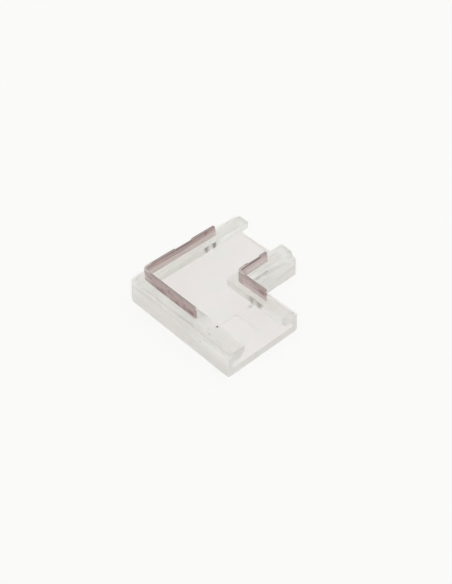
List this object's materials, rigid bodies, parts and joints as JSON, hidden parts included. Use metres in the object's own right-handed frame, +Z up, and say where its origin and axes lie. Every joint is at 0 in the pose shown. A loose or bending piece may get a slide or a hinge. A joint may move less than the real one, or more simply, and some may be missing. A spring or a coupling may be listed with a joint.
{
  "type": "led strip connector",
  "caption": "Right-angle press connector for flat light strip: clear moulded channel with lips, a slit at each mouth and bent piercing contacts that press down into it.",
  "frame": {"origin": "on the underside of the housing, where the centre lines of the two strips cross", "axes": "+X and +Y along the two arms, out of their mouths; +Z up, out of the open channel"},
  "size_m": [0.0195, 0.0195, 0.0055],
  "materials": {
    "clear_plastic": "clear, glossy, as moulded",
    "contact_metal": "tinned, dull, with a rolled grain"
  },
  "bodies": {
    "channel": {"housing": "clear_plastic"},
    "outer_blade": {"outer_contact": "contact_metal"},
    "inner_blade": {"inner_contact": "contact_metal"}
  },
  "joints": [
    {"name": "outer_press", "type": "slide", "parent": "channel", "child": "outer_blade", "axis": [0, 0, -1], "range_m": [0, 0.0012]},
    {"name": "inner_press", "type": "slide", "parent": "channel", "child": "inner_blade", "axis": [0, 0, -1], "range_m": [0, 0.0012]}
  ]
}
